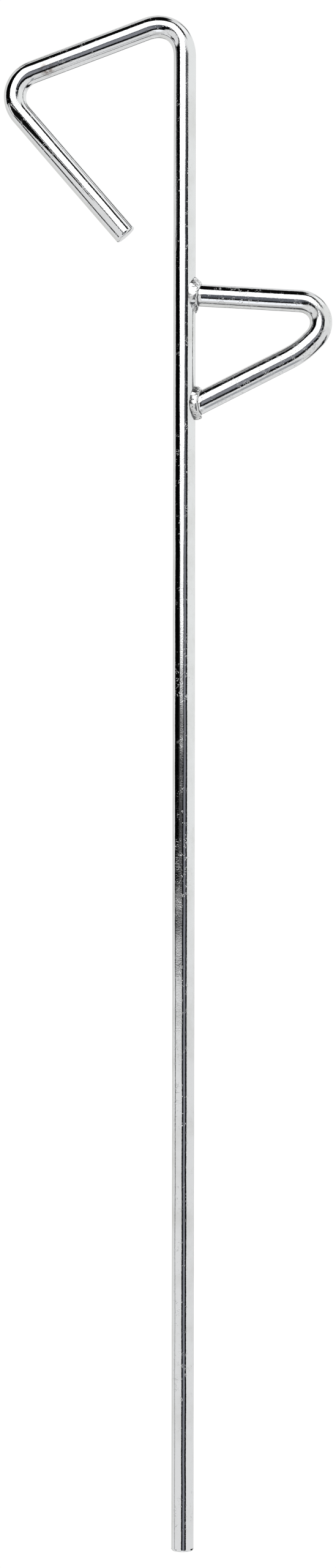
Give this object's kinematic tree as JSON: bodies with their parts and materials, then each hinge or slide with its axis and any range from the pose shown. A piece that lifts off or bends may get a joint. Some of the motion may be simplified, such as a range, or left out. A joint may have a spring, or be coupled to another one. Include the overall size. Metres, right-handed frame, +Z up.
{
  "type": "tent stake",
  "caption": "Round-bar ground stake with an open triangular hook at the top for a guy line and a bent, welded foot step on its side.",
  "frame": {"origin": "centre of the tip's end face, at the bottom of the shaft", "axes": "+Z up along the shaft, +X towards the foot step, -X towards the hook, all bends in the plane Y = 0"},
  "size_m": [0.1406, 0.0116, 0.6555],
  "materials": {
    "plated_bar": "bright plated drawn steel bar, mirror-like, with fine draw lines and pits",
    "plated_weld": "bright plated weld bead, rippled and glossy"
  },
  "bodies": {
    "root": {"stake_rod": "plated_bar", "foot_step": "plated_bar", "upper_weld": "plated_weld", "lower_weld": "plated_weld"}
  },
  "joints": []
}
